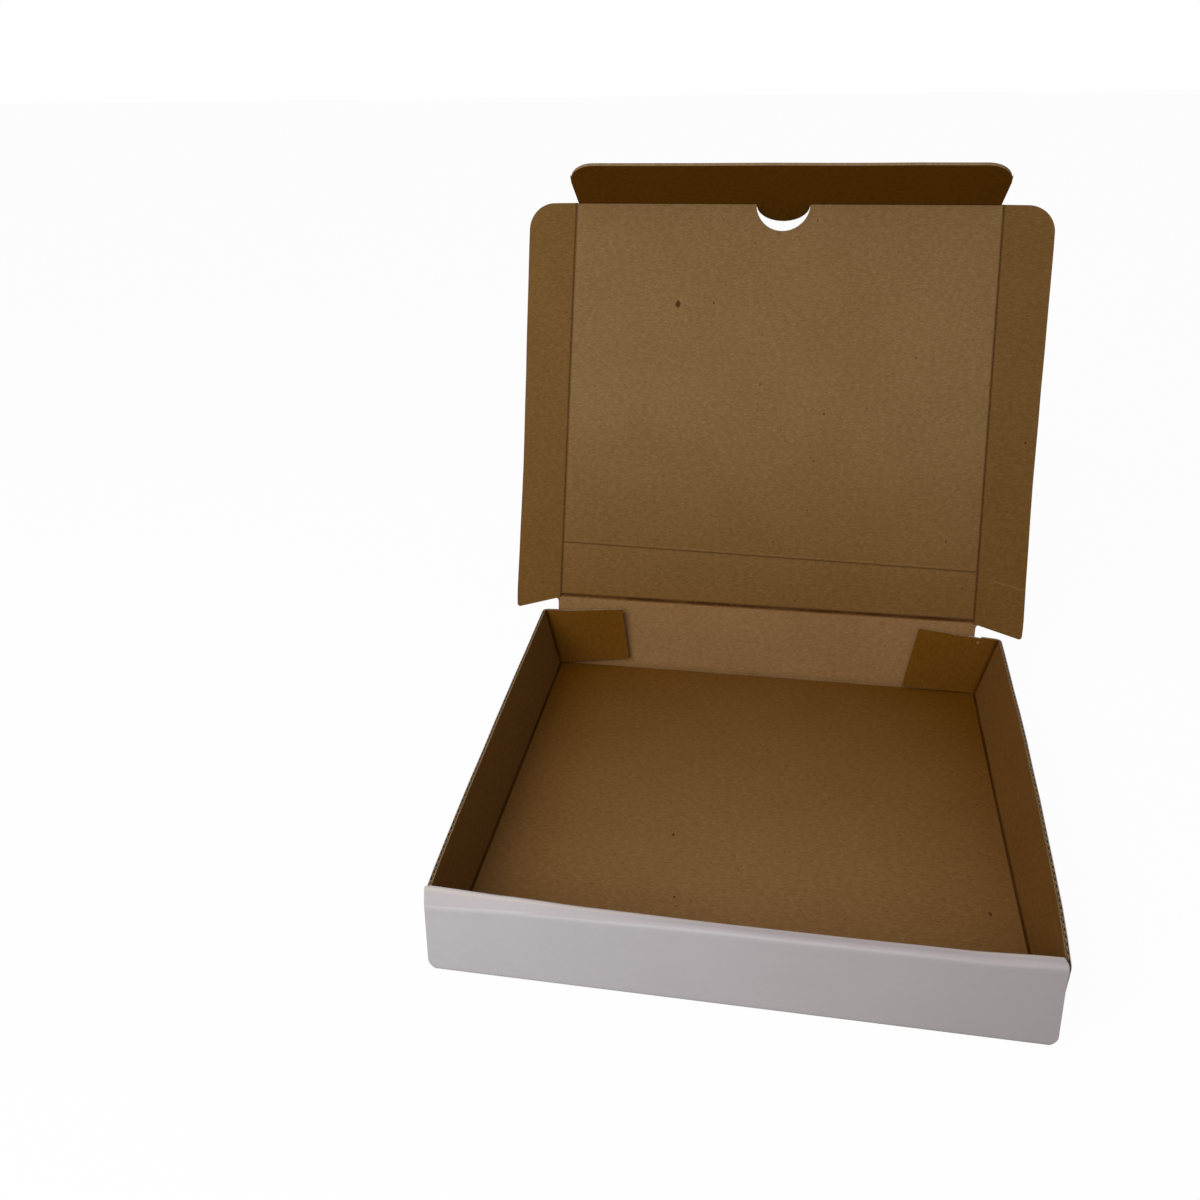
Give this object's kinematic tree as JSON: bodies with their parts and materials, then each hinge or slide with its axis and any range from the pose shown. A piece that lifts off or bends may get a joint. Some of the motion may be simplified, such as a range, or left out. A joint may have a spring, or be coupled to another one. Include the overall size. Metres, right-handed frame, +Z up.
{
  "type": "pizza box",
  "caption": "Small square takeaway pizza box of thin fluted board, standing open: a folded tray with a rolled front wall, a hinged lid with side ears, and a tuck flap with a half-moon tab.",
  "frame": {"origin": "centre of the tray's underside", "axes": "+X to the right seen from the front, +Y to the hinged back wall, +Z up"},
  "size_m": [0.2614, 0.3078, 0.2516],
  "materials": {
    "kraft_board": "brown kraft liner inside, white liner outside",
    "printed_board": "brown kraft liner inside, white liner with a pink and grey gingham print outside"
  },
  "bodies": {
    "tray": {"tray": "kraft_board"},
    "lid": {"lid": "printed_board"},
    "tuck_flap": {"tuck_flap": "printed_board"}
  },
  "joints": [
    {"name": "lid_hinge", "type": "hinge", "parent": "tray", "child": "lid", "pos_m": [0, 0.11588, 0.03853], "axis": [1, 0, 0], "range_deg": [-69.1, 110.9]},
    {"name": "tuck_crease", "type": "hinge", "parent": "lid", "child": "tuck_flap", "pos_m": [0, 0.18883, 0.22957], "axis": [1, 0, 0], "range_deg": [-67, 28]}
  ]
}
